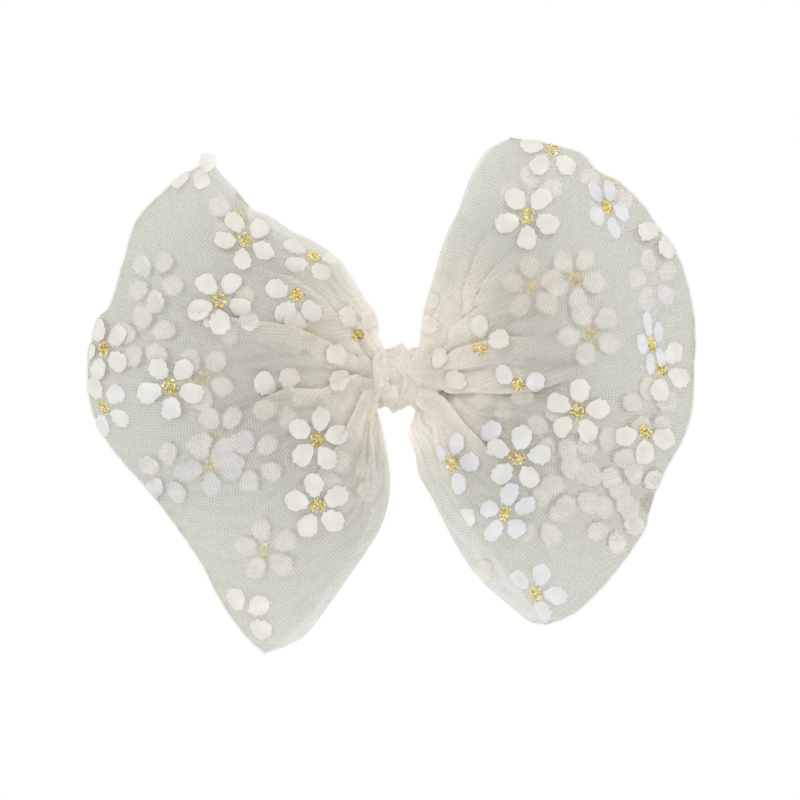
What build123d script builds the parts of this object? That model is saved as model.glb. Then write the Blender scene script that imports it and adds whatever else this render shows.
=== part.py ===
from build123d import *

import os
from math import acos, atan2, cos, degrees, hypot, pi, radians, sin, tan

# A hair bow of printed tulle on a sprung alligator clip.
#
# Millimetres. +X runs to the right across the bow as it is worn, +Z is up and the bow faces -Y.
# The clip lies along X behind the bow. The origin is on the flat back face of the jaw that lies
# on the scalp, level with the middle of the knot.

# Clip: two stamped levers, a pin and a torsion spring
SHEET = 0.8  # thickness of the stamped steel
HALF_WIDTH = 4.75  # half the width of both levers
NOSE_HALF_WIDTH = 3.3
NOSE_X = -26.0
TAB_X = 31.0
JAW_GAP = 4.0  # between the inner faces of the two levers
NOSE_DROP = 1.7  # how far the front lever's nose leans towards the jaw
NOSE_BEND_X = -15.0
TAB_BEND_X = 17.5
TAB_ANGLE = 19.0  # degrees that the thumb tab leans away from the jaw
PIVOT_X, PIVOT_Y = 16.0, -2.9
PIN_RADIUS = 0.8
PIN_CLEARANCE = 0.05
PIN_HEAD_RADIUS, PIN_HEAD_HEIGHT = 1.3, 0.5
LEVER_EAR_RADIUS, JAW_EAR_RADIUS = 1.9, 1.7
JAW_EAR_SHEET, EAR_GAP = 0.7, 0.3
FLANGE_HEIGHT = 1.2
TOOTH_PITCH, TEETH, TOOTH_GAP, TOOTH_SHEET = 1.8, 6, 0.2, 0.7
WIRE = 0.6  # spring wire
COIL_RADIUS, COIL_PITCH, COIL_LENGTH = 1.3, 0.85, 4.25
LEG_REACH = 12.5  # from the pivot to where a spring leg presses

# Lining, glue, thread and knot
RIBBON, RIBBON_HALF_WIDTH, RIBBON_INNER_END = 0.4, 4.5, 9.0
WAIST_RADIUS, GROOVE_RADIUS, WAIST_HALF = 6.6, 5.4, 6.6
GROOVE_HALF = 2.4
WAIST_Y = -13.2
THREAD, THREAD_PITCH, THREAD_TURNS = 0.5, 0.7, 5
WRAP, WRAP_HALF = 1.0, 6.3
PAD_X, PAD_Z = 11.6, 6.0

# Loops: each ply is one sheet that runs out from the knot in front, round a fold and back
OUTER_PLY, INNER_PLY = 0.5, 0.4
PLY_GAP = 1.9  # from the outer ply's middle to the inner ply's
PLY_SHORTER = 0.05  # share by which the inner ply's loop is shorter
KNOT_EDGE_X, KNOT_EDGE_HALF = 6.9, 5.2
FRONT_SWELL, BACK_SWELL = 19.0, 6.0  # how far each side stands off the loop's middle
KNOT_SWELL = 3.8
FORWARD_LEAN = 8.0  # how far the loop's middle comes forward of the waist
SWELL_REACH, LEAN_REACH = 0.9, 0.8  # share of the way out where each is complete
EDGE_SWELL = 0.75  # share of the swell that is left at the open edges
GRID_U, GRID_V = 17, 9

LEFT_LOOP = {
    "top": [(-6.9, 5.2), (-8.6, 8), (-7.8, 15), (-10, 24), (-19.5, 33.5), (-33, 42),
            (-42, 48.5), (-50, 58)],
    "fold": [(-50, 58), (-60, 50), (-70, 38), (-76, 18), (-81, 5), (-79.5, -9), (-70, -25),
             (-57, -41), (-48, -57), (-35, -72)],
    "bottom": [(-6.9, -5.2), (-8.8, -8.5), (-7.2, -17), (-4.4, -30), (-5, -40), (-14, -54),
               (-24, -66), (-35, -72)],
}
RIGHT_LOOP = {
    "top": [(6.9, 5.2), (8.6, 8), (9, 20), (12.4, 36), (19, 52), (28, 62.5)],
    "fold": [(28, 62.5), (44, 60.5), (55, 53), (67, 41), (75, 27), (77.5, 8), (76.5, -12),
             (68, -30), (62, -45), (50, -59), (38, -65)],
    "bottom": [(6.9, -5.2), (8.6, -8), (6.8, -17), (6.6, -26), (11, -37), (21, -53), (38, -65)],
}

JAW_INNER_Y = -SHEET
LEVER_Y = JAW_INNER_Y - JAW_GAP - SHEET / 2  # the middle of the front lever's sheet
RIBBON_FRONT_Y = LEVER_Y - SHEET / 2 - RIBBON
RIBBON_BACK_Y = LEVER_Y + SHEET / 2 + RIBBON
TAB_Y = LEVER_Y - (TAB_X - TAB_BEND_X) * tan(radians(TAB_ANGLE))
HOLE_RADIUS = PIN_RADIUS + PIN_CLEARANCE
LEVER_EAR_Z = HALF_WIDTH - SHEET
JAW_EAR_Z = LEVER_EAR_Z - EAR_GAP - JAW_EAR_SHEET

os.makedirs("parts", exist_ok=True)


def finish(builder, label):
    builder.part.label = label
    export_step(builder.part, f"parts/{label}.step")


def lever_outline(grow):
    """The plan of a lever, in x and z: a tapered nose and a rounded thumb tab, all widened by grow."""
    half, nose = HALF_WIDTH + grow, NOSE_HALF_WIDTH + grow
    with BuildSketch(Plane.XZ) as outline:
        with BuildLine():
            Polyline((TAB_X + grow, -half), (NOSE_BEND_X + 2, -half), (NOSE_X - grow, -nose),
                     (NOSE_X - grow, nose), (NOSE_BEND_X + 2, half), (TAB_X + grow, half), close=True)
        make_face()
        fillet(outline.vertices().group_by(Axis.X)[0], 1.6)
        fillet(outline.vertices().group_by(Axis.X)[-1], 3.0)
    return outline.sketch


def lever_path():
    return FilletPolyline((NOSE_X, LEVER_Y + NOSE_DROP), (NOSE_BEND_X, LEVER_Y),
                          (TAB_BEND_X, LEVER_Y), (TAB_X, TAB_Y), radius=3)


def ear_outline(z, radius, root_y, root_half):
    """An upright ear with its hinge hole, reaching from a lever's sheet at root_y to the pivot."""
    with BuildSketch(Plane.XY.offset(z)) as outline:
        with Locations((PIVOT_X, PIVOT_Y)):
            Circle(radius)
        with Locations((PIVOT_X, root_y)):
            Rectangle(2 * root_half, SHEET / 2)
        make_hull()
        with Locations((PIVOT_X, PIVOT_Y)):
            Circle(HOLE_RADIUS, mode=Mode.SUBTRACT)
    return outline.sketch


# The front lever carries the bow
with BuildPart() as front_lever:
    with BuildSketch(Plane.XY):
        with BuildLine():
            lever_path()
        trace(line_width=SHEET)
    extrude(amount=HALF_WIDTH, both=True)
    extrude(lever_outline(0), amount=40, both=True, mode=Mode.INTERSECT)
    ear = extrude(ear_outline(LEVER_EAR_Z, LEVER_EAR_RADIUS, LEVER_Y, 3.0), amount=SHEET)
    mirror(ear, about=Plane.XY)
finish(front_lever, "front_lever")

# The grosgrain lining covers the lever's front, turns round its nose and ends short of the hinge
with BuildPart() as lever_ribbon:
    with BuildSketch(Plane.XY) as lining:
        with BuildLine():
            lever_path()
        trace(line_width=SHEET)
        bare = lining.sketch
        offset(bare, amount=RIBBON, kind=Kind.ARC)
        add(bare, mode=Mode.SUBTRACT)
        with BuildLine():
            Polyline((RIBBON_INNER_END, LEVER_Y), (TAB_BEND_X, LEVER_Y), (TAB_X, TAB_Y),
                     (TAB_X - 0.5, TAB_Y - 2), (TAB_X + 3, TAB_Y - 2), (TAB_X + 3, 0),
                     (RIBBON_INNER_END, 0), close=True)
        make_face(mode=Mode.SUBTRACT)
    extrude(amount=RIBBON_HALF_WIDTH, both=True)
    extrude(lever_outline(RIBBON), amount=40, both=True, mode=Mode.INTERSECT)
finish(lever_ribbon, "lever_ribbon")

# The back jaw lies on the scalp: a flat sheet with side flanges, ears and two rows of teeth
with BuildPart() as back_jaw:
    extrude(lever_outline(0), amount=SHEET)
    for side in (-1, 1):
        flange_z = side * (HALF_WIDTH - TOOTH_SHEET / 2)
        with BuildSketch(Plane.XY.offset(flange_z - TOOTH_SHEET / 2)):
            with Locations((-1, JAW_INNER_Y - FLANGE_HEIGHT / 2 + 0.1)):
                Rectangle(22, FLANGE_HEIGHT + 0.2)
        extrude(amount=TOOTH_SHEET)
        tooth_z = side * (NOSE_HALF_WIDTH - 0.4 - TOOTH_SHEET / 2)
        with BuildSketch(Plane.XY.offset(tooth_z - TOOTH_SHEET / 2)):
            for tooth in range(TEETH):
                base = NOSE_X + 0.4 + tooth * TOOTH_PITCH
                rise = NOSE_DROP * (base - NOSE_X) / (NOSE_BEND_X - NOSE_X)
                tip_y = LEVER_Y + NOSE_DROP - rise + SHEET / 2 + RIBBON + TOOTH_GAP
                with BuildLine():
                    Polyline((base, JAW_INNER_Y + 0.1), (base + 0.3, tip_y), (base + 0.8, tip_y),
                             (base + TOOTH_PITCH - 0.1, JAW_INNER_Y + 0.1), close=True)
                make_face()
        extrude(amount=TOOTH_SHEET)
    ear = extrude(ear_outline(JAW_EAR_Z, JAW_EAR_RADIUS, JAW_INNER_Y + SHEET / 2, 3.5),
                  amount=JAW_EAR_SHEET)
    mirror(ear, about=Plane.XY)
finish(back_jaw, "back_jaw")

# The hinge pin runs through all four ears and has a peened head at each end
with BuildPart() as hinge_pin:
    with Locations((PIVOT_X, PIVOT_Y, 0)):
        Cylinder(PIN_RADIUS, 2 * (HALF_WIDTH + 0.03 + PIN_HEAD_HEIGHT))
        for side in (-1, 1):
            with Locations((0, 0, side * (HALF_WIDTH + 0.03 + PIN_HEAD_HEIGHT / 2))):
                Cylinder(PIN_HEAD_RADIUS, PIN_HEAD_HEIGHT)
    fillet(hinge_pin.edges().filter_by(GeomType.CIRCLE).group_by(Axis.Z)[0], 0.3)
    fillet(hinge_pin.edges().filter_by(GeomType.CIRCLE).group_by(Axis.Z)[-1], 0.3)
finish(hinge_pin, "hinge_pin")


def tangent_point(px, py, side):
    """Where a line from (px, py) touches the coil's circle, on the side asked for."""
    reach, heading = hypot(px - PIVOT_X, py - PIVOT_Y), atan2(py - PIVOT_Y, px - PIVOT_X)
    angle = heading + side * acos(COIL_RADIUS / reach)
    return PIVOT_X + COIL_RADIUS * cos(angle), PIVOT_Y + COIL_RADIUS * sin(angle), angle


# The torsion spring is coiled round the pin, and its crossed legs press the two thumb tabs apart
tab_contact_x = PIVOT_X + LEG_REACH
lever_contact_y = (LEVER_Y - (tab_contact_x - TAB_BEND_X) * tan(radians(TAB_ANGLE))
                   + (SHEET / 2 + WIRE / 2 + 0.05) / cos(radians(TAB_ANGLE)))
jaw_contact_y = JAW_INNER_Y - WIRE / 2 - 0.05
legs = [
    (*tangent_point(tab_contact_x, lever_contact_y, 1), tab_contact_x, lever_contact_y, -1),
    (*tangent_point(tab_contact_x, jaw_contact_y, -1), tab_contact_x, jaw_contact_y, 1),
]
with BuildPart() as torsion_spring:
    with BuildLine() as coil:
        Helix(COIL_PITCH, COIL_LENGTH, COIL_RADIUS, center=(PIVOT_X, PIVOT_Y, -COIL_LENGTH / 2))
    with BuildSketch(Plane(origin=coil.line @ 0, z_dir=coil.line % 0)):
        Circle(WIRE / 2)
    sweep(path=coil.line)
    for touch_x, touch_y, angle, end_x, end_y, side in legs:
        leg_z = side * COIL_LENGTH / 2
        # A quarter-pitch of flat wire carries the coil's end round to where the leg leaves it
        end_angle = 0 if side < 0 else 2 * pi * COIL_LENGTH / COIL_PITCH
        sweep_degrees = degrees(angle - end_angle) % 360
        if side < 0:
            sweep_degrees -= 360
        with BuildLine() as arc:
            CenterArc((PIVOT_X, PIVOT_Y, leg_z), COIL_RADIUS, degrees(end_angle), sweep_degrees)
            Line((touch_x, touch_y, leg_z), (end_x, end_y, leg_z))
        with BuildSketch(Plane(origin=arc.line @ 0, z_dir=arc.line % 0)):
            Circle(WIRE / 2)
        sweep(path=arc.line)
        coil_end = (PIVOT_X + COIL_RADIUS * cos(end_angle), PIVOT_Y + COIL_RADIUS * sin(end_angle))
        with Locations((*coil_end, leg_z)):
            Sphere(WIRE / 2)
finish(torsion_spring, "torsion_spring")

# The gathered waist is the middle of the strip, bunched tight, with a groove where the thread binds it
with BuildPart() as gathered_waist:
    with BuildSketch(Plane.XY):
        with BuildLine():
            Polyline((WAIST_HALF, WAIST_Y - WAIST_RADIUS), (WAIST_HALF, WAIST_Y),
                     (-WAIST_HALF, WAIST_Y), (-WAIST_HALF, WAIST_Y - WAIST_RADIUS))
            Spline((-WAIST_HALF, WAIST_Y - WAIST_RADIUS), (-GROOVE_HALF, WAIST_Y - GROOVE_RADIUS),
                   tangents=((1, 0.2), (1, 0)))
            Line((-GROOVE_HALF, WAIST_Y - GROOVE_RADIUS), (GROOVE_HALF, WAIST_Y - GROOVE_RADIUS))
            Spline((GROOVE_HALF, WAIST_Y - GROOVE_RADIUS), (WAIST_HALF, WAIST_Y - WAIST_RADIUS),
                   tangents=((1, 0), (1, -0.2)))
        make_face()
    revolve(axis=Axis((0, WAIST_Y, 0), (1, 0, 0)))
finish(gathered_waist, "gathered_waist")

# The binding thread is wound side by side in the groove
with BuildPart() as gathering_thread:
    wound = THREAD_PITCH * THREAD_TURNS
    with BuildLine() as winding:
        Helix(THREAD_PITCH, wound, GROOVE_RADIUS + THREAD / 2 + 0.03,
              center=(-wound / 2, WAIST_Y, 0), direction=(1, 0, 0))
    with BuildSketch(Plane(origin=winding.line @ 0, z_dir=winding.line % 0)):
        Circle(THREAD / 2)
    sweep(path=winding.line)
finish(gathering_thread, "gathering_thread")

# The knot is a folded tulle strip wrapped round the waist and the lined lever
with BuildPart() as centre_wrap:
    for grow, mode in ((WRAP, Mode.ADD), (0, Mode.SUBTRACT)):
        with BuildSketch(Plane.YZ.offset(-WRAP_HALF)):
            with Locations((WAIST_Y, 0)):
                Circle(WAIST_RADIUS + 0.15 + grow)
            with Locations((RIBBON_BACK_Y - 0.45, -4.4), (RIBBON_BACK_Y - 0.45, 4.4)):
                Circle(0.6 + grow)
            make_hull()
        extrude(amount=2 * WRAP_HALF, mode=mode)
    rims = centre_wrap.edges().filter_by(Plane.YZ)
    fillet([rim for rim in rims if rim.length > 4 and rim.bounding_box().size.Z > 9], 0.3)
finish(centre_wrap, "centre_wrap")

# A film of glue holds the wrap's lapped ends to the lining, and a pad holds the waist to it
with BuildPart() as wrap_glue:
    film = 0.15
    with Locations((0, RIBBON_BACK_Y + film / 2, 0)):
        Box(8, film, 7)
finish(wrap_glue, "wrap_glue")

with BuildPart() as bow_glue:
    with Locations((0, RIBBON_FRONT_Y - 1.3, 0)):
        Box(PAD_X, 2.6, PAD_Z)
    with Locations((0, WAIST_Y, 0)):
        Cylinder(WAIST_RADIUS + 0.02, 2 * PAD_X, rotation=(0, 90, 0), mode=Mode.SUBTRACT)
finish(bow_glue, "bow_glue")


def smooth_step(low, high, value):
    share = min(1, max(0, (value - low) / (high - low)))
    return share * share * (3 - 2 * share)


def ply_face(loop, gap, shorter):
    """One sheet of a loop, as a spline surface through a grid of points.

    u runs out from the knot in front (0), round the fold (half way) and back behind (1), and
    v runs from the bottom edge to the top one. Across the bow, the place comes from blending
    the loop's four edges, and the depth comes from how far each side swells.
    """
    top, fold, bottom = (Spline(*loop[edge]) for edge in ("top", "fold", "bottom"))
    side = 1 if loop["top"][0][0] > 0 else -1
    corner_top, corner_bottom = fold @ 0, fold @ 1
    grid = []
    for row in range(GRID_V):
        v = row / (GRID_V - 1)
        edge_swell = EDGE_SWELL + (1 - EDGE_SWELL) * sin(pi * v)
        line = []
        for column in range(GRID_U):
            angle = pi * column / (GRID_U - 1)
            out = sin(angle)
            knot = Vector(side * KNOT_EDGE_X, (2 * v - 1) * KNOT_EDGE_HALF)
            low, high = Vector(*loop["bottom"][0]), Vector(*loop["top"][0])
            place = ((bottom @ out) * (1 - v) + (top @ out) * v
                     + knot * (1 - out) + (fold @ (1 - v)) * out
                     - (low * (1 - v) + high * v) * (1 - out)
                     - (corner_bottom * (1 - v) + corner_top * v) * out)
            facing = -cos(angle)
            swell = FRONT_SWELL if facing < 0 else BACK_SWELL
            depth = KNOT_SWELL + (swell * edge_swell - KNOT_SWELL) * smooth_step(0, SWELL_REACH, out)
            middle = WAIST_Y - FORWARD_LEAN * smooth_step(0, LEAN_REACH, out)
            shrink = 1 - shorter * out
            line.append(Vector(place.X * shrink, middle + facing * (depth - gap), place.Y * shrink))
        grid.append(line)
    return Face.make_surface_from_array_of_points(grid, tol=0.02, min_deg=3, max_deg=5)


for loop_name, loop in (("left_loop", LEFT_LOOP), ("right_loop", RIGHT_LOOP)):
    with BuildPart() as outer_ply:
        thicken(ply_face(loop, 0, 0), amount=OUTER_PLY / 2, both=True)
    finish(outer_ply, f"{loop_name}_outer")

    with BuildPart() as inner_ply:
        thicken(ply_face(loop, PLY_GAP, PLY_SHORTER), amount=INNER_PLY / 2, both=True)
    finish(inner_ply, f"{loop_name}_inner")
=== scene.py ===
"""The looks of a hair bow of daisy-printed tulle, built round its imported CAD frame.

Metres, in the frame of the part: +X right, +Y towards the head, +Z up, and the bow faces -Y.
Shapes are written in millimetres and turned into metres as each mesh is made.
"""

import math
import random
from collections import namedtuple

import bpy
import numpy as np
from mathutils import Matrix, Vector
from mathutils.bvhtree import BVHTree


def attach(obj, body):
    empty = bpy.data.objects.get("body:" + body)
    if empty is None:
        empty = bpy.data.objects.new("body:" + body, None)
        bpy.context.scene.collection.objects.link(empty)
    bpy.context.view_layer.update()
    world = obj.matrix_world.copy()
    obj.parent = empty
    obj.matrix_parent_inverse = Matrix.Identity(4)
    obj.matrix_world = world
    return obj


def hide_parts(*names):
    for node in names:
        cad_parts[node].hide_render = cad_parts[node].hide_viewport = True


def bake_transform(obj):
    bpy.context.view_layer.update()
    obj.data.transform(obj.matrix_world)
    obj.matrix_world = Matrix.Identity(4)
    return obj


MM = 0.001
BOW = "bow_and_lever"

# The strip of tulle, and the room the loops take, as in the CAD model
STRIP_WIDTH = 150.0
WAIST_Y, FORWARD_LEAN = -13.2, 8.0
FRONT_SWELL, BACK_SWELL, KNOT_SWELL = 19.0, 6.0, 3.8
SWELL_REACH, LEAN_REACH, EDGE_SWELL = 0.9, 0.8, 0.75
KNOT_X, KNOT_HALF = 6.6, 5.2
PLY_GAP, PLY_SHORTER = 1.6, 0.005
PUFF_LIFT = 5.0  # how far the gathers swell forward over the knot's sides
NET_PITCH = 0.84
GATHER_POWER = 0.72  # gathered net lies in pleats that open a little, so it is less dense than its gather
GATHER_MOST = 12  # beyond this, more cloth makes no difference

# The knot: the waist is the strip bunched into deep pleats, and the wrap goes round it and the clip
WAIST_HALF, WAIST_INNER, WAIST_OUTER, WAIST_PLEATS = 6.6, 2.3, 6.4, 18
WRAP_HALF, WRAP_RADIUS, WRAP_THICK = 6.5, 7.9, 0.9
WRAP_BACK_Y, WRAP_ROUND = -3.3, 56.0  # the flat face on the clip, and the length once round
KNOT_GATHER = {"waist": 6.0, "wrap": 9.0}  # how many times over the net lies

# The torsion spring round the hinge pin
PIVOT_X, PIVOT_Y = 16.0, -2.9
WIRE, COIL_RADIUS, COIL_PITCH, COIL_LENGTH = 0.6, 1.3, 0.85, 4.25
LEG_X, LEVER_LEG_Y, JAW_LEG_Y = 28.5, -8.19, -1.15
COIL_FLAT = 0.06  # the share of the coil that lies flat at each end

CREAM_WITH_PAINTED_LIGHT = (0.96, 0.925, 0.86)  # the net where it lies many times over, made brighter as painted light in its pleats
FLOCK_TINTS = ((0.0, (0.925, 0.865, 0.805)), (0.5, (0.935, 0.92, 0.87)), (1.0, (0.90, 0.895, 0.92)))
GOLD_TINTS = ((0.0, (0.30, 0.22, 0.04)), (0.25, (0.72, 0.54, 0.10)), (0.6, (0.93, 0.76, 0.25)),
              (1.0, (1.0, 0.95, 0.72)))
RIB_PITCH = 0.55  # grosgrain

# A printed daisy
PETAL_REACH, PETAL_LENGTH, PETAL_WIDTH = 5.4, 6.4, 5.3
CENTRE_RADIUS, FLAKES = 1.9, 105  # the dot of glitter at its centre
FLOCK_LIFT, FLOCK_THICK = 0.10, 0.22
RIM_POINTS, RIM_STEP = 40, (-0.13, 0.05)  # the net gives a petal's rim small steps, as shares of its size
PETAL_RINGS, PETAL_DOME = (0.5, 0.88, 1.0), (1.0, 0.9, 0.2)
PETAL_DRAPE, PETAL_FLOAT = 0.35, 1.8  # the share of a crease that it follows, and how far it may stand off
RAY_START, EDGE_HALVINGS = 0.2, 7  # metres from the cloth, and how closely its edge is found

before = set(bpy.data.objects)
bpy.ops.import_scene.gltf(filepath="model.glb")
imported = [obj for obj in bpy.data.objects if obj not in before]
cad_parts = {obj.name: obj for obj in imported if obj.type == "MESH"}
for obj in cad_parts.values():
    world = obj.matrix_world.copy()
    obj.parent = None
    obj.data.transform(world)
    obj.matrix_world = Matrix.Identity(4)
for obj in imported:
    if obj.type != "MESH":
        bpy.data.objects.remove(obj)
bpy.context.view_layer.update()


# ---------------------------------------------------------------- small maths

def smooth(low, high, value):
    share = np.clip((value - low) / (high - low), 0, 1)
    return share * share * (3 - 2 * share)


def through(points, count):
    """count points evenly spaced along a smooth curve through the points given."""
    p = np.array(points, float)
    p = np.vstack([2 * p[0] - p[1], p, 2 * p[-1] - p[-2]])
    fine = []
    for a, b, c, d in zip(p, p[1:], p[2:], p[3:]):
        t = np.linspace(0, 1, 24, endpoint=False)[:, None]
        fine.append(0.5 * (2 * b + (c - a) * t + (2 * a - 5 * b + 4 * c - d) * t**2
                           + (3 * b - a - 3 * c + d) * t**3))
    fine = np.vstack(fine + [p[-2:-1]])
    run = np.concatenate([[0], np.cumsum(np.linalg.norm(np.diff(fine, axis=0), axis=1))])
    at = np.linspace(0, run[-1], count)
    return np.stack([np.interp(at, run, fine[:, k]) for k in range(p.shape[1])], axis=1)


# ---------------------------------------------------------------- meshes

def make_mesh(name, verts, faces, uvs=None, values=None):
    """A smooth-shaded object from points in mm. uvs and values hold one entry per point."""
    mesh = bpy.data.meshes.new(name)
    mesh.from_pydata((np.asarray(verts, float) * MM).tolist(), [], faces)
    mesh.polygons.foreach_set("use_smooth", [True] * len(mesh.polygons))
    if uvs is not None:
        layer = mesh.uv_layers.new(name="cloth")
        index = np.zeros(len(mesh.loops), int)
        mesh.loops.foreach_get("vertex_index", index)
        layer.data.foreach_set("uv", np.asarray(uvs, float)[index].ravel())
    for key, entries in (values or {}).items():
        layer = mesh.attributes.new(key, "FLOAT", "POINT")
        layer.data.foreach_set("value", np.asarray(entries, float))
    mesh.validate()
    obj = bpy.data.objects.new(name, mesh)
    bpy.context.scene.collection.objects.link(obj)
    return obj


def grid_faces(rows, columns):
    return [(r * columns + c, r * columns + c + 1, (r + 1) * columns + c + 1, (r + 1) * columns + c)
            for r in range(rows - 1) for c in range(columns - 1)]


# ---------------------------------------------------------------- materials

def new_material(name):
    mat = bpy.data.materials.new(name)
    mat.use_nodes = True
    nodes, links = mat.node_tree.nodes, mat.node_tree.links
    nodes.clear()
    return mat, nodes, links


def math_node(nodes, links, operation, a, b=None):
    node = nodes.new("ShaderNodeMath")
    node.operation = operation
    for socket, value in zip(node.inputs, (a, b)):
        if value is None:
            continue
        if isinstance(value, (int, float)):
            socket.default_value = value
        else:
            links.new(value, socket)
    return node.outputs[0]


def map_range(nodes, links, value, source, target, kind="LINEAR"):
    node = nodes.new("ShaderNodeMapRange")
    node.interpolation_type = kind
    node.inputs["From Min"].default_value, node.inputs["From Max"].default_value = source
    node.inputs["To Min"].default_value, node.inputs["To Max"].default_value = target
    links.new(value, node.inputs["Value"])
    return node.outputs[0]


def mix_colour(nodes, links, share, a, b, blend="MIX"):
    node = nodes.new("ShaderNodeMix")
    node.data_type = "RGBA"
    node.blend_type = blend
    for key, value in (("A", a), ("B", b)):
        if isinstance(value, tuple):
            node.inputs[key].default_value = (*value, 1)
        else:
            links.new(value, node.inputs[key])
    if isinstance(share, (int, float)):
        node.inputs["Factor"].default_value = share
    else:
        links.new(share, node.inputs["Factor"])
    return node.outputs["Result"]


def object_noise(nodes, links, scale, stretch=(1, 1, 1), detail=2):
    place = nodes.new("ShaderNodeTexCoord")
    mapping = nodes.new("ShaderNodeMapping")
    mapping.inputs["Scale"].default_value = stretch
    links.new(place.outputs["Object"], mapping.inputs["Vector"])
    noise = nodes.new("ShaderNodeTexNoise")
    noise.inputs["Scale"].default_value = scale
    noise.inputs["Detail"].default_value = detail
    links.new(mapping.outputs[0], noise.inputs["Vector"])
    return noise.outputs["Fac"]


def fibre_bump(nodes, links, shader, height, strength, distance):
    bump_node = nodes.new("ShaderNodeBump")
    bump_node.inputs["Strength"].default_value = strength
    bump_node.inputs["Distance"].default_value = distance
    links.new(height, bump_node.inputs["Height"])
    links.new(bump_node.outputs[0], shader.inputs["Normal"])


def let_light_through(nodes, links, shader, colour, share, target):
    """Mixes some translucency into a cloth's shader, and links it to the target."""
    glow = nodes.new("ShaderNodeBsdfTranslucent")
    links.new(colour, glow.inputs["Color"])
    body = nodes.new("ShaderNodeMixShader")
    body.inputs[0].default_value = share
    links.new(shader.outputs[0], body.inputs[1])
    links.new(glow.outputs[0], body.inputs[2])
    links.new(body.outputs[0], target)


def net_material(name, thread_colour, gap_colour, thread_cover, gap_cover, turn=0, glow_share=0.4,
                 cream=CREAM_WITH_PAINTED_LIGHT):
    """Fine net, patterned in the cloth's own millimetres, its threads turned by some degrees.

    Where it is gathered, it closes up and turns cream, partly painted light against the shade of its pleats.
    """
    mat, nodes, links = new_material(name)
    uv = nodes.new("ShaderNodeUVMap")
    uv.uv_map = "cloth"
    wander = nodes.new("ShaderNodeTexNoise")
    wander.inputs["Scale"].default_value = 0.12
    wander.inputs["Detail"].default_value = 2
    links.new(uv.outputs[0], wander.inputs["Vector"])
    pull = nodes.new("ShaderNodeVectorMath")
    pull.operation = "MULTIPLY_ADD"
    pull.inputs[1].default_value = (1.5, 1.5, 0)
    links.new(wander.outputs["Color"], pull.inputs[0])
    links.new(uv.outputs[0], pull.inputs[2])
    bias = nodes.new("ShaderNodeMapping")
    bias.inputs["Rotation"].default_value = (0, 0, math.radians(turn))
    links.new(pull.outputs[0], bias.inputs["Vector"])
    split = nodes.new("ShaderNodeSeparateXYZ")
    links.new(bias.outputs[0], split.inputs[0])

    def strands(axis, half_width):
        cells = math_node(nodes, links, "DIVIDE", split.outputs[axis], NET_PITCH)
        across = math_node(nodes, links, "SUBTRACT", math_node(nodes, links, "FRACT", cells), 0.5)
        edge = 0.5 - half_width
        return map_range(nodes, links, math_node(nodes, links, "ABSOLUTE", across), (edge - 0.1, edge + 0.1),
                         (0, 1), "SMOOTHSTEP")

    lattice = math_node(nodes, links, "MAXIMUM", strands(0, 0.16), strands(1, 0.13))
    gather = nodes.new("ShaderNodeAttribute")
    gather.attribute_name = "gather"
    cover = map_range(nodes, links, lattice, (0, 1), (gap_cover, thread_cover))
    open_share = math_node(nodes, links, "SUBTRACT", 1.0, cover)
    layers = math_node(nodes, links, "POWER", open_share, gather.outputs["Fac"])
    alpha = math_node(nodes, links, "SUBTRACT", 1.0, layers)

    tone = mix_colour(nodes, links, lattice, gap_colour, thread_colour)
    # Gathered net turns cream: partly its own colour where it lies many times over, partly painted light that
    # lifts the shade of its pleats and folds.
    cream_share_with_painted_light = map_range(nodes, links, gather.outputs["Fac"], (1.3, 3.4), (0, 1), "SMOOTHSTEP")
    stipple = map_range(nodes, links, object_noise(nodes, links, 1900), (0.35, 0.65), (0.9, 1.05))
    warm = mix_colour(nodes, links, 1, mix_colour(nodes, links, cream_share_with_painted_light, tone, cream), stipple, "MULTIPLY")
    cloth = nodes.new("ShaderNodeBsdfPrincipled")
    cloth.inputs["Roughness"].default_value = 0.7
    fibre_bump(nodes, links, cloth, lattice, 0.25, 0.0001)
    cloth.inputs["Sheen Weight"].default_value = 0.2
    cloth.inputs["Sheen Roughness"].default_value = 0.4
    links.new(warm, cloth.inputs["Base Color"])
    clear = nodes.new("ShaderNodeBsdfTransparent")
    mix = nodes.new("ShaderNodeMixShader")
    links.new(alpha, mix.inputs[0])
    links.new(clear.outputs[0], mix.inputs[1])
    let_light_through(nodes, links, cloth, warm, glow_share, mix.inputs[2])
    links.new(mix.outputs[0], nodes.new("ShaderNodeOutputMaterial").inputs[0])
    return mat


def tint_ramp(nodes, links, stops):
    """A colour for each value of the mesh's tint, from 0 to 1."""
    tint = nodes.new("ShaderNodeAttribute")
    tint.attribute_name = "tint"
    ramp = nodes.new("ShaderNodeValToRGB")
    ramp.color_ramp.elements[0].color = (*stops[0][1], 1)
    ramp.color_ramp.elements[1].color = (*stops[-1][1], 1)
    for place, colour in stops[1:-1]:
        ramp.color_ramp.elements.new(place).color = (*colour, 1)
    links.new(tint.outputs["Fac"], ramp.inputs[0])
    return ramp.outputs[0]


def flock_material(name, mottle):
    """Dense short flock: matt, with a fine nap, and uneven in shade over the range of mottle."""
    mat, nodes, links = new_material(name)
    cloth = nodes.new("ShaderNodeBsdfPrincipled")
    cloth.inputs["Roughness"].default_value = 0.92
    cloth.inputs["Sheen Weight"].default_value = 0.3
    cloth.inputs["Sheen Roughness"].default_value = 0.5
    tinted = tint_ramp(nodes, links, FLOCK_TINTS)
    cloud = map_range(nodes, links, object_noise(nodes, links, 260), (0.3, 0.7), mottle)
    shade = mix_colour(nodes, links, 1, tinted, cloud, "MULTIPLY")
    links.new(shade, cloth.inputs["Base Color"])
    fibre_bump(nodes, links, cloth, object_noise(nodes, links, 2600, detail=3), 0.35, 0.0002)
    let_light_through(nodes, links, cloth, shade, 0.38, nodes.new("ShaderNodeOutputMaterial").inputs[0])
    return mat


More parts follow.
